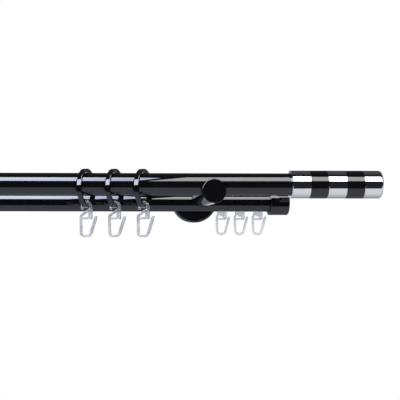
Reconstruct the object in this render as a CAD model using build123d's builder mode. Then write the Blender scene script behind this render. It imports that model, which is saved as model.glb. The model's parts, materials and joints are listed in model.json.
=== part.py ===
# Double curtain rod: a front tube for rings and a rear tube with an inner run for gliders.
# Frame in millimetres: +X along the rod, -Y into the room, +Z up, the wall is the plane y = 0.
# The origin lies on the wall, midway between the two brackets, at the height of the arms' axes.
from build123d import *
from math import cos, hypot, radians, sin, sqrt
import os

os.makedirs("parts", exist_ok=True)

# Sizes of the two tubes
front_diameter = 25.0
front_wall = 1.2
front_length = 1000.0
rear_diameter = 20.0
rear_wall = 1.3
slot_width = 5.0
runway_depth = 1.5
web_height = 0.6
web_thickness = 1.2

# Where the tubes lie on the arm
front_reach = 95.5
front_rise = 8.65
rear_reach = 51.5
rear_drop = 8.1

# Brackets
overhang_length = 90.5
arm_diameter = 27.6
lip_thickness = 3.0
arm_round = 0.8
plate_thickness = 3.0
plate_chamfer = 0.6
plate_room = 1.5
wall_screw_hole = 4.5
wall_screw_head = 8.0
wall_screw_edge = 0.7
spigot_diameter = 16.0
spigot_length = 20.0
rose_diameter = 52.8
rose_depth = 8.0
rose_skin = 1.6
rose_round = 2.4

# Screws
grub_diameter = 4.0
grub_length = 6.0
grub_recess = 0.5
grub_from_rose = 6.0
hex_across_flats = 2.0
hex_depth = 2.0
tube_screw_diameter = 4.0
tube_screw_head = 7.6
tube_screw_past_nut = 1.0
nut_across_flats = 7.0
nut_height = 2.2

# Finials and end caps
finial_diameter = 31.4
finial_cover = 3.0
chrome_band = 21.5
black_band = 20.2
chrome_end = 22.0
band_bevel = 0.35
end_round = 4.0
core_diameter = 16.0
core_spigot = 22.0
core_in_end = 12.0
cap_diameter = 27.5
cap_length = 22.0
cap_seat = 14.0
cap_round = 1.6
cap_from_bracket = 75.5

# Rings
ring_diameter = 43.4
ring_bar = 3.2
ring_width = 5.6
ring_round = 0.6
ring_skew = 34.0
ring_pitch = 32.55
first_ring = 77.9

# Ring hooks
bar_above_loop = 1.75
loop_band = 3.0
loop_open_angle = 194.0
bead_diameter = 3.7
hook_wire = 2.5
hook_depth = 2.9
hook_corner = 0.5
hook_bend = 3.6
neck_drop = 2.6
leg_left = 6.9
shoulder_drop = 9.5
leg_drop = 32.6
toe_reach = 3.8
tip_reach = 11.4
tip_drop = 11.9
crossbar_drop = 12.7
gusset_reach = 1.8
gusset_depth = 1.4
ridge_length = 3.3
ridge_depth = 3.6
ridge_thickness = 0.9
ridge_pitch = 2.2
ridge_tilt = 45.0
ridge_count = 8

# Gliders
glider_pitch = 20.8
first_glider = 21.4
shoe_length = 12.0
shoe_corner = 1.2
shoe_foot_height = 1.6
crown_length = 7.2
crown_width = 7.0
crown_corner = 1.0
stem_diameter = 3.2
stem_head = 4.0
stem_head_height = 1.3
stem_head_round = 0.5
neck_width = 4.2
neck_corner = 0.8
block_length = 10.5
block_width = 5.0
block_height = 3.7
block_corner = 1.0
glider_wire = 2.2
glider_corner = 0.6
glider_bend = 4.5
glider_left = 5.8
glider_root = 4.2
glider_shoulder = 2.2
glider_drop = 21.4
glider_toe = 2.9
glider_tip_reach = 8.2
glider_tip_drop = 2.6
glider_crossbar_drop = 4.4
glider_crossbar = 1.9
glider_post_width = 3.6
glider_post_depth = 1.8

# Clearances
moving_gap = 0.3
running_gap = 0.05

# Values that follow from the ones above
front_radius = front_diameter / 2
rear_radius = rear_diameter / 2
arm_radius = arm_diameter / 2
ring_outer = ring_diameter / 2
ring_inner = ring_outer - ring_bar
plate_diameter = rose_diameter - 2 * (rose_skin + plate_room)
wall_screw_spacing = plate_diameter - wall_screw_head - 2 * wall_screw_edge
lock_reach = rose_depth + grub_from_rose
half_front = front_length / 2
finial_face = half_front - finial_cover
bracket_x = finial_face - overhang_length
arm_front = front_reach + front_radius + lip_thickness
arm_length = arm_front - plate_thickness
sides = {"right": 1, "left": -1}

# The loop's centre line keeps its band clear of the rounded corners of the ring's bar
loop_radius = (
    hypot(ring_width / 2 - ring_round, bar_above_loop) + ring_round + moving_gap + loop_band / 2
)


# How far a skewed ring's centre hangs below the front tube's axis, with its rounded edges clear of the tube
def ring_drop():
    aside = (ring_width / 2 - ring_round) * sin(radians(ring_skew))
    reach = ring_inner + ring_round
    need = front_radius + moving_gap + ring_round
    drops = []
    for step in range(90):
        angle = radians(step)
        across = reach * sin(angle) * cos(radians(ring_skew)) - aside
        if abs(across) < need:
            drops.append(reach * cos(angle) - sqrt(need**2 - across**2))
    return min(drops)


ring_z = front_rise - ring_drop()
loop_z = ring_z - ring_inner - ring_round - bar_above_loop
block_top = -rear_drop - rear_radius - moving_gap


# A round bar between two points
def bar(start, end, radius):
    line = Vector(*end) - Vector(*start)
    with BuildPart() as piece:
        with BuildSketch(Plane(origin=start, z_dir=line)):
            Circle(radius)
        extrude(amount=line.length)
    return piece.part


# A hexagonal socket that starts at the middle of a face and goes down along a direction
def hex_socket(mouth, direction, flats, depth):
    with BuildPart() as piece:
        with BuildSketch(Plane(origin=mouth, z_dir=direction)):
            RegularPolygon(radius=flats / 2, side_count=6, major_radius=False)
        extrude(amount=depth)
    return piece.part


# Front tube, with its ends open
with BuildPart() as front_tube:
    with BuildSketch(Plane.YZ.offset(-half_front)):
        with Locations((-front_reach, front_rise)):
            Circle(front_radius)
            Circle(front_radius - front_wall, mode=Mode.SUBTRACT)
    extrude(amount=front_length)
front_tube.part.label = "front_tube"
export_step(front_tube.part, "parts/front_tube.step")

# Rear tube: a round skin, a web across it, flat runways at the bottom and a slot between them
half_rear = bracket_x + cap_from_bracket + cap_seat
runway_z = -rear_radius + rear_wall + runway_depth
web_bottom = web_height - web_thickness
nut_seat = rear_radius - rear_wall
with BuildPart() as rear_tube:
    with BuildSketch(Plane.YZ.offset(-half_rear)):
        with Locations((-rear_reach, -rear_drop)):
            Circle(rear_radius)
            Circle(rear_radius - rear_wall, mode=Mode.SUBTRACT)
        with BuildSketch(mode=Mode.ADD) as inner:
            with Locations((-rear_reach, -rear_drop)):
                Circle(rear_radius - rear_wall / 2)
            with Locations((-rear_reach, -rear_drop + web_height)):
                Rectangle(rear_diameter, rear_diameter, align=(Align.CENTER, Align.MIN), mode=Mode.SUBTRACT)
            with Locations((-rear_reach, -rear_drop + web_bottom)):
                Rectangle(
                    rear_diameter,
                    web_bottom - runway_z,
                    align=(Align.CENTER, Align.MAX),
                    mode=Mode.SUBTRACT,
                )
        with Locations((-rear_reach, -rear_drop - rear_radius)):
            Rectangle(
                slot_width,
                runway_z + rear_radius,
                align=(Align.CENTER, Align.MIN),
                mode=Mode.SUBTRACT,
            )
    extrude(amount=2 * half_rear)
    for side in sides.values():
        with BuildSketch(Plane.XY.offset(-rear_drop + web_height)):
            with Locations((side * bracket_x, -rear_reach)):
                Circle(tube_screw_diameter / 2)
        extrude(amount=rear_diameter, mode=Mode.SUBTRACT)
rear_tube.part.label = "rear_tube"
export_step(rear_tube.part, "parts/rear_tube.step")

# Brackets: wall plate with its spigot, rose, and arm with its two seats
for side_name, side in sides.items():
    centre_x = side * bracket_x
    with BuildPart() as wall_plate:
        with BuildSketch(Plane.XZ):
            with Locations((centre_x, 0)):
                Circle(plate_diameter / 2)
        extrude(amount=plate_thickness)
        chamfer(wall_plate.edges().sort_by(Axis.Y)[0], plate_chamfer)
        with BuildSketch(Plane.XZ.offset(plate_thickness)):
            with Locations((centre_x, 0)):
                Circle(spigot_diameter / 2)
        extrude(amount=spigot_length)
        chamfer(wall_plate.edges().sort_by(Axis.Y)[0], plate_chamfer)
        for end in (1, -1):
            with Locations(
                Plane(
                    origin=(centre_x, -plate_thickness, end * wall_screw_spacing / 2),
                    z_dir=(0, -1, 0),
                )
            ):
                CounterSinkHole(wall_screw_hole / 2, wall_screw_head / 2, plate_thickness)
    wall_plate.part.label = "wall_plate_" + side_name
    export_step(wall_plate.part, f"parts/wall_plate_{side_name}.step")

    with BuildPart() as rose:
        with BuildSketch(Plane.XZ):
            with Locations((centre_x, 0)):
                Circle(rose_diameter / 2)
        extrude(amount=rose_depth)
        fillet(rose.edges().sort_by(Axis.Y)[0], rose_round)
        with BuildSketch(Plane.XZ):
            with Locations((centre_x, 0)):
                Circle(rose_diameter / 2 - rose_skin)
        extrude(amount=rose_depth - rose_round, mode=Mode.SUBTRACT)
        with BuildSketch(Plane.XZ):
            with Locations((centre_x, 0)):
                Circle(arm_radius)
        extrude(amount=rose_depth, mode=Mode.SUBTRACT)
    rose.part.label = "rose_" + side_name
    export_step(rose.part, f"parts/rose_{side_name}.step")

    with BuildPart() as arm:
        with BuildSketch(Plane.XZ.offset(plate_thickness)):
            with Locations((centre_x, 0)):
                Circle(arm_radius)
        extrude(amount=arm_length)
        fillet(arm.edges().sort_by(Axis.Y)[0], arm_round)
        with BuildSketch(Plane.XZ.offset(plate_thickness)):
            with Locations((centre_x, 0)):
                Circle(spigot_diameter / 2)
        extrude(amount=spigot_length + moving_gap, mode=Mode.SUBTRACT)
        with BuildSketch(Plane.YZ.offset(centre_x)):
            with Locations((-front_reach, front_rise)):
                Circle(front_radius)
                Rectangle(front_diameter, arm_diameter, align=(Align.CENTER, Align.MIN))
            with Locations((-rear_reach, -rear_drop)):
                Circle(rear_radius)
                Rectangle(rear_diameter, arm_diameter, align=(Align.CENTER, Align.MAX))
        extrude(amount=arm_diameter, both=True, mode=Mode.SUBTRACT)
        for reach in (front_reach, lock_reach):
            with BuildSketch(Plane.XY.offset(-arm_diameter)):
                with Locations((centre_x, -reach)):
                    Circle(grub_diameter / 2)
            extrude(amount=arm_diameter, mode=Mode.SUBTRACT)
        with Locations(Plane(origin=(centre_x, -rear_reach, arm_radius), z_dir=(0, 0, 1))):
            CounterSinkHole(tube_screw_diameter / 2, tube_screw_head / 2, arm_diameter)
    arm.part.label = "arm_" + side_name
    export_step(arm.part, f"parts/arm_{side_name}.step")

# Grub screws from below: one against the front tube and one against the spigot on each arm
for grub_name, reach, seat_z in (
    ("tube_grubs", front_reach, front_rise - front_radius),
    ("spigot_grubs", lock_reach, -spigot_diameter / 2),
):
    with BuildPart() as grubs:
        for side in sides.values():
            bottom_z = max(seat_z - grub_length, -arm_radius + grub_recess)
            add(bar((side * bracket_x, -reach, bottom_z), (side * bracket_x, -reach, seat_z), grub_diameter / 2))
            add(
                hex_socket((side * bracket_x, -reach, bottom_z), (0, 0, 1), hex_across_flats, hex_depth),
                mode=Mode.SUBTRACT,
            )
    grubs.part.label = grub_name
    export_step(grubs.part, f"parts/{grub_name}.step")

# Screws from above that pull the rear tube into its seat, and the nuts inside the tube
nut_top = -rear_drop + sqrt(nut_seat**2 - (nut_across_flats / 2) ** 2)
screw_tip = nut_top - nut_height - tube_screw_past_nut
with BuildPart() as tube_screws:
    for side in sides.values():
        sink = (tube_screw_head - tube_screw_diameter) / 2
        with BuildSketch(Plane.XY.offset(screw_tip)):
            with Locations((side * bracket_x, -rear_reach)):
                Circle(tube_screw_diameter / 2)
        extrude(amount=arm_radius - sink - screw_tip)
        with Locations((side * bracket_x, -rear_reach, arm_radius - sink)):
            Cone(
                tube_screw_diameter / 2,
                tube_screw_head / 2,
                sink,
                align=(Align.CENTER, Align.CENTER, Align.MIN),
            )
        add(
            hex_socket((side * bracket_x, -rear_reach, arm_radius), (0, 0, -1), hex_across_flats, hex_depth),
            mode=Mode.SUBTRACT,
        )
tube_screws.part.label = "tube_screws"
export_step(tube_screws.part, "parts/tube_screws.step")

with BuildPart() as tube_nuts:
    for side in sides.values():
        with BuildSketch(Plane.XY.offset(nut_top - nut_height)):
            with Locations((side * bracket_x, -rear_reach)):
                Rectangle(nut_across_flats, nut_across_flats)
                Circle(tube_screw_diameter / 2, mode=Mode.SUBTRACT)
        extrude(amount=nut_height)
tube_nuts.part.label = "tube_nuts"
export_step(tube_nuts.part, "parts/tube_nuts.step")

# Finials: a core that plugs into the tube, and the bands and the end that are threaded on it
band_names = ("band_chrome_a", "band_black_a", "band_chrome_b", "band_black_b")
band_lengths = (chrome_band, black_band, chrome_band, black_band)
bands_length = sum(band_lengths)
for side_name, side in sides.items():
    outward = (side, 0, 0)
    core_start = half_front - core_spigot
    core_end = finial_face + bands_length + core_in_end
    with BuildPart() as core:
        with BuildSketch(Plane(origin=(side * core_start, -front_reach, front_rise), z_dir=outward)):
            Circle(front_radius - front_wall)
        extrude(amount=core_spigot)
        chamfer(core.edges().sort_by(Axis.X)[0 if side > 0 else -1], plate_chamfer)
        with BuildSketch(Plane(origin=(side * half_front, -front_reach, front_rise), z_dir=outward)):
            Circle(core_diameter / 2)
        extrude(amount=core_end - half_front)
    core.part.label = "finial_core_" + side_name
    export_step(core.part, f"parts/finial_core_{side_name}.step")

    band_start = finial_face
    for band_name, band_length in zip(band_names, band_lengths):
        with BuildPart() as band:
            start = Plane(origin=(side * band_start, -front_reach, front_rise), z_dir=outward)
            with BuildSketch(start):
                Circle(finial_diameter / 2)
            extrude(amount=band_length)
            rims = band.edges().filter_by(GeomType.CIRCLE)
            chamfer(rims, band_bevel)
            with BuildSketch(start):
                Circle(core_diameter / 2)
            extrude(amount=band_length, mode=Mode.SUBTRACT)
            if band_start == finial_face:
                with BuildSketch(start):
                    Circle(front_radius)
                extrude(amount=finial_cover, mode=Mode.SUBTRACT)
        band.part.label = f"{band_name}_{side_name}"
        export_step(band.part, f"parts/{band_name}_{side_name}.step")
        band_start += band_length

    with BuildPart() as finial_end:
        start = Plane(origin=(side * band_start, -front_reach, front_rise), z_dir=outward)
        with BuildSketch(start):
            Circle(finial_diameter / 2)
        extrude(amount=chrome_end)
        rims = finial_end.edges().filter_by(GeomType.CIRCLE).sort_by(Axis.X)
        fillet(rims[-1 if side > 0 else 0], end_round)
        rims = finial_end.edges().filter_by(GeomType.CIRCLE).sort_by(Axis.X)
        chamfer(rims[0 if side > 0 else -1], band_bevel)
        with BuildSketch(start):
            Circle(core_diameter / 2)
        extrude(amount=core_in_end, mode=Mode.SUBTRACT)
    finial_end.part.label = "finial_end_" + side_name
    export_step(finial_end.part, f"parts/finial_end_{side_name}.step")

    cap_face = bracket_x + cap_from_bracket
    with BuildPart() as cap:
        start = Plane(origin=(side * cap_face, -rear_reach, -rear_drop), z_dir=outward)
        with BuildSketch(start):
            Circle(cap_diameter / 2)
        extrude(amount=cap_length)
        rims = cap.edges().filter_by(GeomType.CIRCLE).sort_by(Axis.X)
        fillet(rims[-1 if side > 0 else 0], cap_round)
        rims = cap.edges().filter_by(GeomType.CIRCLE).sort_by(Axis.X)
        chamfer(rims[0 if side > 0 else -1], band_bevel)
        with BuildSketch(start):
            Circle(rear_radius)
        extrude(amount=cap_seat, mode=Mode.SUBTRACT)
    cap.part.label = "end_cap_" + side_name
    export_step(cap.part, f"parts/end_cap_{side_name}.step")


# A moulded strip with round ends and rounded edges along a path drawn in the plane x, z
def strip(path, width, depth, corner):
    with BuildPart() as piece:
        with BuildSketch(Plane.XZ):
            add(Face(path.wires()[0].offset_2d(width / 2)))
        extrude(amount=depth / 2, both=True)
        fillet(piece.faces().filter_by(Axis.Y).edges(), corner)
    return piece.part


# Rings: flat bands with rounded edges, turned about the vertical by the skew
with BuildPart() as ring_form:
    with BuildSketch(Plane.XY):
        with Locations((0, ring_inner + ring_bar / 2)):
            RectangleRounded(ring_width, ring_bar, ring_round)
    revolve(axis=Axis.X, revolution_arc=360)

# Ring hook about its loop's centre, in the plane x, z: an open loop with a bead that runs down into
# a post, a sloping neck, a long open V with slanted ridges on its free leg, a crossbar and a gusset
open_angle = radians(loop_open_angle)
bead_centre = (loop_radius * cos(open_angle), loop_radius * sin(open_angle))
free_leg = hypot(tip_reach - toe_reach, leg_drop - tip_drop)
leg_x = (tip_reach - toe_reach) / free_leg
leg_z = (leg_drop - tip_drop) / free_leg
neck_slope = (shoulder_drop - neck_drop) / (loop_radius + leg_left)
gusset_top = neck_drop + (loop_radius - gusset_reach) * neck_slope
with BuildLine() as loop_line:
    ThreePointArc(bead_centre, (0, loop_radius), (loop_radius, 0))
    Line((loop_radius, 0), (loop_radius, -crossbar_drop))
with BuildLine() as v_line:
    FilletPolyline(
        (loop_radius, -neck_drop),
        (-leg_left, -shoulder_drop),
        (-leg_left, -leg_drop),
        (toe_reach, -leg_drop),
        (tip_reach, -tip_drop),
        radius=hook_bend,
    )
with BuildLine() as crossbar_line:
    Line((-leg_left, -crossbar_drop), (loop_radius, -crossbar_drop))
with BuildPart() as hook_form:
    add(strip(v_line, hook_wire, hook_depth, hook_corner))
    add(strip(loop_line, loop_band, hook_depth, hook_corner))
    add(strip(crossbar_line, hook_wire, hook_depth, hook_corner))
    with Locations((bead_centre[0], 0, bead_centre[1])):
        Sphere(bead_diameter / 2)
    with BuildSketch(Plane.XZ):
        with BuildLine():
            Polyline(
                (gusset_reach, -gusset_top),
                (loop_radius, -neck_drop),
                (loop_radius, -crossbar_drop),
                (gusset_reach, -crossbar_drop),
                close=True,
            )
        make_face()
    extrude(amount=gusset_depth / 2, both=True)
    for ridge in range(1, ridge_count + 1):
        back = ridge * ridge_pitch
        with Locations(Location((tip_reach - leg_x * back, 0, -tip_drop - leg_z * back), (0, ridge_tilt, 0))):
            Box(ridge_length, ridge_depth, ridge_thickness)
hook_form.part.label = "ring_hook"

for side_name, side in sides.items():
    for number in range(3):
        centre_x = side * (bracket_x - first_ring - number * ring_pitch)
        with BuildPart() as ring:
            place = Location((centre_x, -front_reach, ring_z), (0, 0, -ring_skew))
            add(ring_form.part.moved(place))
        ring.part.label = f"ring_{side_name}_{number + 1}"
        export_step(ring.part, f"parts/ring_{side_name}_{number + 1}.step")

        with BuildPart() as ring_hook:
            place = Location((centre_x, -front_reach, loop_z), (0, 0, -ring_skew))
            add(hook_form.part.moved(place))
        ring_hook.part.label = f"ring_hook_{side_name}_{number + 1}"
        export_step(ring_hook.part, f"parts/ring_hook_{side_name}_{number + 1}.step")

# Glider carriage: a shoe on the two runways, a neck through the slot, and a stem with a head
shoe_bottom = -rear_drop + runway_z + moving_gap
shoe_top = -rear_drop + web_bottom - moving_gap
shoe_half = sqrt(nut_seat**2 - (shoe_bottom + rear_drop) ** 2) - moving_gap
block_bottom = block_top - block_height
head_top = block_bottom - running_gap
with BuildPart() as carriage_form:
    with BuildSketch(Plane.XY.offset(shoe_bottom)):
        RectangleRounded(shoe_length, 2 * shoe_half, shoe_corner)
    extrude(amount=shoe_foot_height)
    with BuildSketch(Plane.XY.offset(shoe_bottom)):
        RectangleRounded(crown_length, crown_width, crown_corner)
    extrude(amount=shoe_top - shoe_bottom)
    with BuildSketch(Plane.XY.offset(block_top)):
        RectangleRounded(neck_width, neck_width, neck_corner)
    extrude(amount=shoe_bottom - block_top)
    with BuildSketch(Plane.XY.offset(head_top)):
        Circle(stem_diameter / 2)
    extrude(amount=shoe_bottom - head_top)
    with BuildSketch(Plane.XY.offset(head_top)):
        Circle(stem_head / 2)
    extrude(amount=-stem_head_height)
    fillet(carriage_form.edges().sort_by(Axis.Z)[0], stem_head_round)
carriage_form.part.label = "glider_carriage"

# Glider hook: a block that turns on the stem, an open round V, a crossbar and a broad post
glider_bar_z = block_bottom - glider_crossbar_drop
glider_foot = block_bottom - glider_drop
post_edge = block_length / 2 - glider_post_width
with BuildLine() as root_line:
    Line((-glider_root, block_bottom + glider_wire / 2), (-glider_left, block_bottom - glider_shoulder))
with BuildLine() as glider_line:
    FilletPolyline(
        (-glider_left, block_bottom - glider_shoulder),
        (-glider_left, glider_foot),
        (glider_toe, glider_foot),
        (glider_tip_reach, block_bottom - glider_tip_drop),
        radius=glider_bend,
    )
with BuildLine() as glider_bar_line:
    Line((-glider_left, glider_bar_z), ((block_length - glider_crossbar) / 2, glider_bar_z))
with BuildPart() as glider_form:
    with BuildSketch(Plane.XY.offset(block_bottom)):
        RectangleRounded(block_length, block_width, block_corner)
    extrude(amount=block_height - running_gap)
    add(strip(glider_line, glider_wire, glider_wire, glider_corner))
    add(strip(root_line, glider_wire, glider_wire, glider_corner))
    add(strip(glider_bar_line, glider_crossbar, glider_wire, glider_corner))
    with BuildSketch(Plane.XZ):
        with Locations((post_edge, glider_bar_z)):
            Rectangle(
                glider_post_width,
                glider_crossbar_drop + running_gap,
                align=(Align.MIN, Align.MIN),
            )
    extrude(amount=glider_post_depth / 2, both=True)
    with BuildSketch(Plane.XY.offset(head_top - stem_head_height - moving_gap)):
        Circle(stem_head / 2 + moving_gap)
    extrude(amount=stem_head_height + moving_gap + running_gap, mode=Mode.SUBTRACT)
    with BuildSketch(Plane.XY.offset(head_top)):
        Circle(stem_diameter / 2 + running_gap)
    extrude(amount=block_height + running_gap, mode=Mode.SUBTRACT)
glider_form.part.label = "glider_hook"

for side_name, side in sides.items():
    for number in range(3):
        centre_x = side * (bracket_x + first_glider + number * glider_pitch)
        place = Location((centre_x, -rear_reach, 0))
        with BuildPart() as carriage:
            add(carriage_form.part.moved(place))
        carriage.part.label = f"glider_{side_name}_{number + 1}"
        export_step(carriage.part, f"parts/glider_{side_name}_{number + 1}.step")

        with BuildPart() as glider_hook:
            add(glider_form.part.moved(place))
        glider_hook.part.label = f"glider_hook_{side_name}_{number + 1}"
        export_step(glider_hook.part, f"parts/glider_hook_{side_name}_{number + 1}.step")
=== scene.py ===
"""Double curtain rod: finishes, fuller glider hooks, camera, reflector panels and studio."""

import json
from math import cos, degrees, radians, sin

import bmesh
import bpy
from mathutils import Matrix, Vector


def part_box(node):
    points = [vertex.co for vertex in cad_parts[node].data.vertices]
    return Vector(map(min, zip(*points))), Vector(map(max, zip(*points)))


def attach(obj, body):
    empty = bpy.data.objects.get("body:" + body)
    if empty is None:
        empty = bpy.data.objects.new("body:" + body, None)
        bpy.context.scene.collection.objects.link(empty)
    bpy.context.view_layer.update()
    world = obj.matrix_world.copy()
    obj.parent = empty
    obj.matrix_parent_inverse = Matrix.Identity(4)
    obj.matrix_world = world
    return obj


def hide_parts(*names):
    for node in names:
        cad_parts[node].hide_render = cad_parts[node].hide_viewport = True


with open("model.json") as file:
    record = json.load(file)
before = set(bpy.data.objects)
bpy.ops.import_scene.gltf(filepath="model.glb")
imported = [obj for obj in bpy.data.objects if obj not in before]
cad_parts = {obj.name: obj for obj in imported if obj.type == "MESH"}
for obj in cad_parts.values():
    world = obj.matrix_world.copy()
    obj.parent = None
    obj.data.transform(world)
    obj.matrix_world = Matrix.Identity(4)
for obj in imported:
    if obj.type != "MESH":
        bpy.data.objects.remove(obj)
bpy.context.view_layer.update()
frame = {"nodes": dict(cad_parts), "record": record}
nodes = frame["nodes"]

BLACK = (0.0, 0.0, 0.0)
WHITE = (1.0, 1.0, 1.0)


# Shader maths: a Field is a socket whose value varies, and arithmetic on it adds Math nodes
class Field:
    def __init__(self, finish, socket):
        self.finish = finish
        self.socket = socket

    def maths(self, operation, *others):
        values = dict(enumerate((self, *others)))
        return self.finish.node("ShaderNodeMath", {"operation": operation}, values)

    def __add__(self, other):
        return self.maths("ADD", other)

    def __radd__(self, other):
        return self.maths("ADD", other)

    def __sub__(self, other):
        return self.maths("SUBTRACT", other)

    def __rsub__(self, other):
        return (self * -1.0) + other

    def __mul__(self, other):
        return self.maths("MULTIPLY", other)

    def __rmul__(self, other):
        return self.maths("MULTIPLY", other)

    def smooth(self, low, high):
        """0 below low, 1 above high, with a soft step between."""
        return self.finish.node(
            "ShaderNodeMapRange",
            {"interpolation_type": "SMOOTHSTEP"},
            {"Value": self, "From Min": low, "From Max": high},
        )


# A Mix node has sockets of one name for each kind of data, so those for colours go by their place
MIX_SHARE = 0
MIX_ONE = 6
MIX_OTHER = 7
MIX_RESULT = 2


class Finish:
    """A node tree of a material or of the world, filled by one method for every node."""

    def __init__(self, owner):
        owner.use_nodes = True
        self.owner = owner
        self.tree = owner.node_tree
        self.tree.nodes.clear()

    def node(self, kind, settings=None, inputs=None, output=0):
        made = self.tree.nodes.new(kind)
        for key, value in (settings or {}).items():
            setattr(made, key, value)
        for key, value in (inputs or {}).items():
            socket = made.inputs[key]
            if isinstance(value, Field):
                self.tree.links.new(value.socket, socket)
            else:
                socket.default_value = value
        return Field(self, made.outputs[output]) if made.outputs else None

    def several(self, kind, outputs, inputs=None):
        """Several outputs of one node."""
        made = self.node(kind, inputs=inputs).socket.node
        return [Field(self, made.outputs[output]) for output in outputs]

    def mix(self, share, one, other):
        """A colour between one and other."""
        one, other = (colour if isinstance(colour, Field) else (*colour, 1.0) for colour in (one, other))
        sockets = {MIX_SHARE: share, MIX_ONE: one, MIX_OTHER: other}
        return self.node("ShaderNodeMix", {"data_type": "RGBA"}, sockets, MIX_RESULT)

    def vectors(self, operation, one, other):
        """Maths on each channel of two colours."""
        return self.node("ShaderNodeVectorMath", {"operation": operation}, {0: one, 1: other})

    def places(self):
        return self.node("ShaderNodeTexCoord", output="Object")

    def noise(self, scale, detail=3.0, rough=0.5):
        sockets = {"Vector": self.places(), "Scale": scale, "Detail": detail, "Roughness": rough}
        return self.node("ShaderNodeTexNoise", inputs=sockets)

    def bump(self, height, strength, distance):
        sockets = {"Strength": strength, "Distance": distance, "Height": height}
        return self.node("ShaderNodeBump", inputs=sockets)

    def principled(self, **sockets):
        named = {name.replace("_", " "): value for name, value in sockets.items()}
        return self.node("ShaderNodeBsdfPrincipled", inputs=named)

    def show(self, shader):
        """Ends the material with this shader and returns it."""
        self.node("ShaderNodeOutputMaterial", inputs={"Surface": shader})
        return self.owner


def finish(name):
    return Finish(bpy.data.materials.new(name))


# Glossy black lacquer on steel: deep black, a trace of orange peel, faint wipe marks and dust
def black_lacquer():
    coat = finish("black_lacquer")
    peel = coat.noise(scale=900.0, detail=2.0)
    wipes = coat.noise(scale=60.0, detail=4.0)
    dust = coat.noise(scale=2600.0, detail=2.0).smooth(0.62, 0.74)
    deep = (0.0030, 0.0029, 0.0038)
    wiped = (0.0046, 0.0045, 0.0058)
    lacquer = coat.principled(
        Base_Color=coat.mix(wipes, deep, wiped),
        Roughness=0.012 + 0.014 * wipes.smooth(0.35, 0.75) + 0.014 * dust,
        Normal=coat.bump(peel, strength=0.02, distance=0.00001),
        IOR=1.6,
    )
    return coat.show(lacquer)


# Polished chrome plate: bright, with faint polishing haze
def chrome_plate():
    plate = finish("chrome_plate")
    haze = plate.noise(scale=140.0, detail=4.0)
    specks = plate.noise(scale=1800.0, detail=2.0).smooth(0.6, 0.75)
    dull = (0.83, 0.82, 0.80)
    bright = (0.93, 0.92, 0.90)
    chrome = plate.principled(
        Base_Color=plate.mix(haze, dull, bright),
        Metallic=1.0,
        Roughness=0.025 + 0.02 * haze.smooth(0.4, 0.8) + 0.02 * specks,
        Normal=plate.bump(haze, strength=0.02, distance=0.00001),
    )
    return plate.show(chrome)


# Moulded plastic with a cool cast, cloudier patches and faint flow lines
def moulded_plastic(name, dark, light, cloudy, clearness):
    resin = finish(name)
    flow = resin.noise(scale=420.0, detail=3.0)
    cloud = resin.noise(scale=160.0, detail=2.0).smooth(0.38, 0.66)
    plastic = resin.principled(
        Base_Color=resin.mix(cloud * 0.5, resin.mix(flow, dark, light), cloudy),
        Roughness=0.16 + 0.14 * flow.smooth(0.4, 0.7),
        Normal=resin.bump(flow, strength=0.3, distance=0.0002),
        IOR=1.49,
        Transmission_Weight=clearness,
    )
    return resin.show(plastic)


# The ring hooks' greyer and clearer plastic
def clear_plastic():
    return moulded_plastic(
        "clear_plastic",
        dark=(0.60, 0.61, 0.67),
        light=(0.82, 0.83, 0.88),
        cloudy=(0.40, 0.40, 0.45),
        clearness=0.82,
    )


# The glider hooks' plastic, a paler copy of the ring hooks': painted light, standing in for light shining
# through the hooks under the tube
def painted_lit_plastic():
    return moulded_plastic(
        "painted_lit_plastic",
        dark=(0.86, 0.88, 0.95),
        light=(0.94, 0.95, 0.99),
        cloudy=(0.78, 0.79, 0.86),
        clearness=0.12,
    )


# White slide plastic of the carriages
def white_plastic():
    resin = finish("white_plastic")
    grain = resin.noise(scale=700.0, detail=3.0)
    plastic = resin.principled(
        Base_Color=resin.mix(grain, (0.70, 0.70, 0.72), (0.80, 0.80, 0.82)),
        Roughness=0.34 + 0.12 * grain,
        Normal=resin.bump(grain, strength=0.1, distance=0.00006),
    )
    return resin.show(plastic)


# Zinc-plated steel: soft grey in blotches, from bluish to warm
def zinc_steel():
    metal = finish("zinc_steel")
    blotch = metal.noise(scale=110.0, detail=5.0, rough=0.6)
    grain = metal.noise(scale=1500.0, detail=2.0)
    bluish = (0.50, 0.52, 0.56)
    warm = (0.72, 0.71, 0.68)
    zinc = metal.principled(
        Base_Color=metal.mix(blotch, bluish, warm),
        Metallic=1.0,
        Roughness=0.24 + 0.16 * blotch,
        Normal=metal.bump(grain, strength=0.1, distance=0.00005),
    )
    return metal.show(zinc)


# Blackened screw steel, brighter where the tool has worn it
def screw_steel():
    metal = finish("screw_steel")
    wear = metal.noise(scale=900.0, detail=4.0, rough=0.6)
    blackened = (0.045, 0.045, 0.05)
    worn = (0.30, 0.30, 0.32)
    steel = metal.principled(
        Base_Color=metal.mix(wear.smooth(0.5, 0.75), blackened, worn),
        Metallic=0.9,
        Roughness=0.3 + 0.15 * wear,
        Normal=metal.bump(wear, strength=0.15, distance=0.00006),
    )
    return metal.show(steel)


# Each piece takes the finish of its slot in the record, apart from the glider hooks, which take a paler copy
# of that plastic: painted light, as if lit through under the tube
makers = (black_lacquer, chrome_plate, clear_plastic, painted_lit_plastic, white_plastic, zinc_steel, screw_steel)
finishes = {maker.__name__: maker() for maker in makers}
slot_of = {piece["node"]: piece["material_slot"] for piece in frame["record"]["subparts"]}
glider_hooks = [name for name in nodes if name.startswith("glider_hook")]
for name, node in nodes.items():
    coat = finishes["painted_lit_plastic" if name in glider_hooks else slot_of[name]]
    if not node.material_slots:
        node.data.materials.append(coat)
    for place in node.material_slots:
        place.link = "OBJECT"
        place.material = coat


# The glider hooks' strands are fuller than their solids below the swivel, so a moulding stands for each
STRAND_SWELL = 0.00028
SWELL_RUN = 0.001
SAME_POINT = 1e-6


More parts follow.
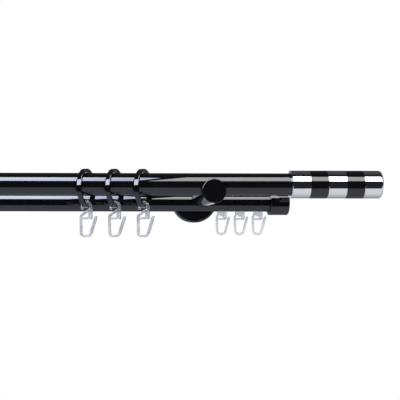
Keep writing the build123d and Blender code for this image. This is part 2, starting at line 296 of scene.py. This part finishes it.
def add_moulding(hook, carriage):
    """A hook with its solid's form, whose strands are fuller below the carriage that it swivels on.

    The swell starts at the carriage's lower end and is whole one swell run below it."""
    shape = bmesh.new()
    shape.from_mesh(nodes[hook].data)
    bmesh.ops.remove_doubles(shape, verts=shape.verts, dist=SAME_POINT)
    shape.normal_update()
    swivel_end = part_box(carriage)[0].z
    for point in shape.verts:
        share = min(max((swivel_end - point.co.z) / SWELL_RUN, 0.0), 1.0)
        point.co += point.normal * STRAND_SWELL * share
    mesh = bpy.data.meshes.new(hook + "_moulding")
    shape.to_mesh(mesh)
    shape.free()
    # The moulding takes the paler hook plastic, painted light as if lit through under the tube
    mesh.materials.append(finishes["painted_lit_plastic"])
    moulding = bpy.data.objects.new(hook + "_moulding", mesh)
    bpy.context.scene.collection.objects.link(moulding)
    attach(moulding, hook)
    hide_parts(hook)


for hook in glider_hooks:
    add_moulding(hook, hook.replace("glider_hook", "glider"))


# The front tube's axis, on which the camera's anchor lies and round which the panels are bent
TUBE_Y = -0.0955
TUBE_Z = 0.00865


# Camera: a long lens far away, to the left of the right bracket and below it
LENS = 643.2
SENSOR = 36.0
DISTANCE = 8.0
CLIP_END = 50.0
YAW = radians(12.5)
PITCH = radians(5.2)
ROLL = radians(0.1)

# The tube's axis where the right bracket holds it, and the pixel that shows it
FRAME_PIXELS = 400
ANCHOR = Vector((0.4065, TUBE_Y, TUBE_Z))
ANCHOR_PIXEL = (211.3, 184.4)


def add_camera():
    along = Vector((1.0, 0.0, 0.0))
    ahead = Vector((0.0, cos(PITCH), sin(PITCH)))
    above = Vector((0.0, -sin(PITCH), cos(PITCH)))
    look = ahead * cos(YAW) + along * sin(YAW)
    level = along * cos(YAW) - ahead * sin(YAW)
    right = level * cos(ROLL) + above * sin(ROLL)
    up = above * cos(ROLL) - level * sin(ROLL)
    pixel = SENSOR / LENS * DISTANCE / FRAME_PIXELS
    aside = (ANCHOR_PIXEL[0] - FRAME_PIXELS / 2) * pixel
    raised = (FRAME_PIXELS / 2 - ANCHOR_PIXEL[1]) * pixel
    stand = ANCHOR - right * aside - up * raised - look * DISTANCE
    data = bpy.data.cameras.new("camera")
    data.lens = LENS
    data.sensor_width = SENSOR
    data.clip_end = CLIP_END
    camera = bpy.data.objects.new("camera", data)
    turn = Matrix((right, up, -look)).transposed().to_4x4()
    camera.matrix_world = Matrix.Translation(stand) @ turn
    bpy.context.scene.collection.objects.link(camera)
    bpy.context.scene.camera = camera


# Reflector panels, bent round the front tube's axis at one reach: gloss alone sees them
PANEL_REACH = 1.2
PANEL_END = 2.2
PANEL_ROWS = 16
PANEL_STEPS = 8

# The cool and the plain panel taper on a slant where they pass each other
COOL_FULL = 0.568
COOL_TIP = 0.604
PLAIN_TIP = 0.585
PLAIN_FULL = 0.638

# The plain panel steps down where the finial mirrors it
STEP_START = 0.772
STEP_END = 0.776
PLAIN_END = 1.0

# A column is a place along the rod and the panel's lower and upper angle there, front 0 and up 90 degrees
COOL_PANEL = [(-PANEL_END, 24.0, 68.0), (COOL_FULL, 28.0, 68.0), (COOL_TIP, 62.0, 62.1)]
COOL_REAR_PANEL = [(-PANEL_END, 68.0, 93.0), (COOL_FULL, 68.0, 92.0), (COOL_TIP, 62.1, 66.0)]
PLAIN_PANEL = [
    (PLAIN_TIP, 27.0, 27.1),
    (PLAIN_FULL, 28.0, 70.5),
    (STEP_START, 30.0, 74.0),
    (STEP_END, 24.0, 61.5),
    (PLAIN_END, 24.4, 61.9),
]
PLAIN_END_PANEL = [(PLAIN_END, 24.4, 61.9), (PANEL_END, 26.0, 63.5)]
PLAIN_REAR_PANEL = [(PLAIN_TIP, 27.1, 27.2), (PLAIN_FULL, 70.5, 79.0), (STEP_START, 74.0, 81.0)]

# A panel's glow passes from its near colour to its far one over a span along the rod
COOL_GLOW = {"span": (0.45, 0.58), "near": (0.77, 0.82, 1.0), "far": (0.55, 0.57, 0.735), "strength": 14.0}
PLAIN_GLOW = {"span": (0.65, 1.6), "near": WHITE, "far": (0.9, 0.9, 0.9), "strength": 6.3}

# The rear panels widen the light for the rear pieces alone, and the end panel for the finials' ends alone
REAR_PIECES = ("rear_tube", "end_cap_left", "end_cap_right")
FINIAL_ENDS = ("finial_end_left", "finial_end_right")


def panel_mesh(name, columns):
    """A sheet through the columns, with steps between them so that it stays at the reach."""
    fine = [
        tuple(one + (other - one) * step / PANEL_STEPS for one, other in zip(here, there))
        for here, there in zip(columns, columns[1:])
        for step in range(PANEL_STEPS)
    ]
    fine.append(columns[-1])
    points = []
    for along, low, high in fine:
        for row in range(PANEL_ROWS + 1):
            angle = radians(low + (high - low) * row / PANEL_ROWS)
            forward = PANEL_REACH * cos(angle)
            upward = PANEL_REACH * sin(angle)
            points.append((along, TUBE_Y - forward, TUBE_Z + upward))
    faces = []
    for column in range(len(fine) - 1):
        for row in range(PANEL_ROWS):
            first = column * (PANEL_ROWS + 1) + row
            beside = first + PANEL_ROWS + 1
            faces.append((first, beside, beside + 1, first + 1))
    mesh = bpy.data.meshes.new(name)
    mesh.from_pydata(points, [], faces)
    return mesh


def add_panel(name, columns, span, near, far, strength, seen_by=()):
    """A glowing panel. Where nodes are named, they alone see it, and it is clear to all others."""
    mesh = panel_mesh(name, columns)
    reflector = bpy.data.objects.new(name, mesh)
    bpy.context.scene.collection.objects.link(reflector)
    silk = finish(name)
    along = silk.node("ShaderNodeSeparateXYZ", inputs={"Vector": silk.places()})
    glow = silk.mix(along.smooth(*span), near, far)
    light = silk.node("ShaderNodeEmission", inputs={"Color": glow, "Strength": strength})
    if seen_by:
        clear = silk.node("ShaderNodeBsdfTransparent")
        light = silk.node("ShaderNodeAddShader", inputs={0: light, 1: clear})
        viewers = bpy.data.collections.new(name)
        for viewer in seen_by:
            viewers.objects.link(nodes[viewer])
        reflector.light_linking.receiver_collection = viewers
    mesh.materials.append(silk.show(light))
    silk.owner.cycles.emission_sampling = "NONE"
    reflector.visible_camera = False
    reflector.visible_diffuse = False
    reflector.visible_transmission = False
    reflector.visible_shadow = False


def add_panels():
    add_panel("cool_panel", COOL_PANEL, **COOL_GLOW)
    add_panel("plain_panel", PLAIN_PANEL, **PLAIN_GLOW)
    add_panel("plain_end_panel", PLAIN_END_PANEL, **PLAIN_GLOW, seen_by=FINIAL_ENDS)
    add_panel("cool_rear_panel", COOL_REAR_PANEL, **COOL_GLOW, seen_by=REAR_PIECES)
    add_panel("plain_rear_panel", PLAIN_REAR_PANEL, **PLAIN_GLOW, seen_by=REAR_PIECES)


# Studio: light goes by a direction's angle round the rod, front 0 and up 90, and its share along it, -1 to 1
# A pair of angles or shares is where a soft step starts and where it ends
RIGHT_SHARES = (0.2108, 0.2178)
FINIAL_SHARES = (0.2283, 0.2343)

# The ground glows more towards its edge in front, which is higher where the finial mirrors it
GROUND_EDGE = -40.0
FINIAL_LIFT = 3.0
EDGE_SOFT = 2.5
GROUND_BACK = (-180.0, -175.0)
GROUND_LEVEL = 0.34
GROUND_GROWTH = 0.42
GROWTH_ANGLES = (-150.0, -70.0)

# A low strip of wall behind is dim above the rod's level and bright below it
ABOVE_BACK = (160.0, 168.0)
BELOW_BACK = (-173.0, -167.0)
DIM_WALL = (0.16, 0.16, 0.17)
BRIGHT_WALL = (1.0, 1.0, 1.02)

# A faint haze lies over all, brighter from overhead to the back
OVERHEAD = (72.0, 110.0)
FAINT_HAZE = (0.020, 0.020, 0.024)
BRIGHTER_HAZE = (0.074, 0.074, 0.076)

# What lies left is tinted cooler than what lies right
LEFT_TINT = (0.86, 0.92, 1.12)
RIGHT_TINT = (0.88, 0.91, 1.01)

# What matt surfaces are lit by is stronger from above, and strongest from the left
HEIGHT_SHARES = (-0.6, 0.8)
LEFT_SHARES = (0.1, 0.8)
LOW_LIGHT = (0.50, 0.50, 0.52)
HIGH_LIGHT = (0.95, 0.95, 0.98)
LOW_LEFT_LIGHT = (1.30, 1.30, 1.33)
HIGH_LEFT_LIGHT = (2.00, 2.00, 2.04)


def add_studio():
    """Gloss mirrors the room, matt surfaces get a soft light, and the camera and clear plastic see white."""
    world = bpy.data.worlds.new("studio")
    bpy.context.scene.world = world
    world.cycles.sampling_method = "NONE"
    room = Finish(world)
    direction = room.node("ShaderNodeTexCoord", output="Generated")
    along, depth, height = room.several("ShaderNodeSeparateXYZ", ("X", "Y", "Z"), {"Vector": direction})
    turn = height.maths("ARCTAN2", depth * -1.0) * degrees(1.0)

    past_edge = turn - GROUND_EDGE - FINIAL_LIFT * along.smooth(*FINIAL_SHARES)
    ground = turn.smooth(*GROUND_BACK) * (1.0 - past_edge.smooth(-EDGE_SOFT, EDGE_SOFT))
    level = GROUND_LEVEL + GROUND_GROWTH * turn.smooth(*GROWTH_ANGLES)
    haze = room.mix(turn.smooth(*OVERHEAD), FAINT_HAZE, BRIGHTER_HAZE)
    lit = room.vectors("ADD", haze, room.mix(ground * level, BLACK, WHITE))
    tint = room.mix(along.smooth(*RIGHT_SHARES), LEFT_TINT, RIGHT_TINT)
    wall = room.mix(1.0 - turn.smooth(*BELOW_BACK), BLACK, BRIGHT_WALL)
    wall = room.mix(turn.smooth(*ABOVE_BACK), wall, DIM_WALL)
    mirrored = room.vectors("ADD", room.vectors("MULTIPLY", lit, tint), wall)

    raised = height.smooth(*HEIGHT_SHARES)
    ahead = room.mix(raised, LOW_LIGHT, HIGH_LIGHT)
    leftward = room.mix(raised, LOW_LEFT_LIGHT, HIGH_LEFT_LIGHT)
    soft = room.mix((along * -1.0).smooth(*LEFT_SHARES), ahead, leftward)

    rays = ("Is Glossy Ray", "Is Camera Ray", "Is Transmission Ray")
    glossy, camera, through = room.several("ShaderNodeLightPath", rays)
    light = room.mix(glossy, soft, mirrored)
    light = room.mix(camera.maths("MAXIMUM", through), light, WHITE)
    shader = room.node("ShaderNodeBackground", inputs={"Color": light, "Strength": 1.0})
    room.node("ShaderNodeOutputWorld", inputs={"Surface": shader})
    bpy.context.scene.view_settings.view_transform = "Standard"


# A plain pale floor, well below the rod and clear from below, so that the rod's underside can be seen
FLOOR_HALF = 40.0
FLOOR_HEIGHT = -1.6


def add_floor():
    sides = ((-1, -1), (1, -1), (1, 1), (-1, 1))
    corners = [(x * FLOOR_HALF, y * FLOOR_HALF, FLOOR_HEIGHT) for x, y in sides]
    mesh = bpy.data.meshes.new("floor")
    mesh.from_pydata(corners, [], [(0, 1, 2, 3)])
    floor = bpy.data.objects.new("floor", mesh)
    bpy.context.scene.collection.objects.link(floor)
    pale = finish("pale_floor")
    tone = pale.mix(pale.noise(scale=3.0, detail=3.0), (0.84, 0.84, 0.84), (0.88, 0.88, 0.88))
    board = pale.principled(Base_Color=tone, Roughness=0.8)
    clear = pale.node("ShaderNodeBsdfTransparent")
    underside = pale.node("ShaderNodeNewGeometry", output="Backfacing")
    both = pale.node("ShaderNodeMixShader", inputs={0: underside, 1: board, 2: clear})
    mesh.materials.append(pale.show(both))
    floor.visible_glossy = False


add_camera()
add_panels()
add_studio()
add_floor()
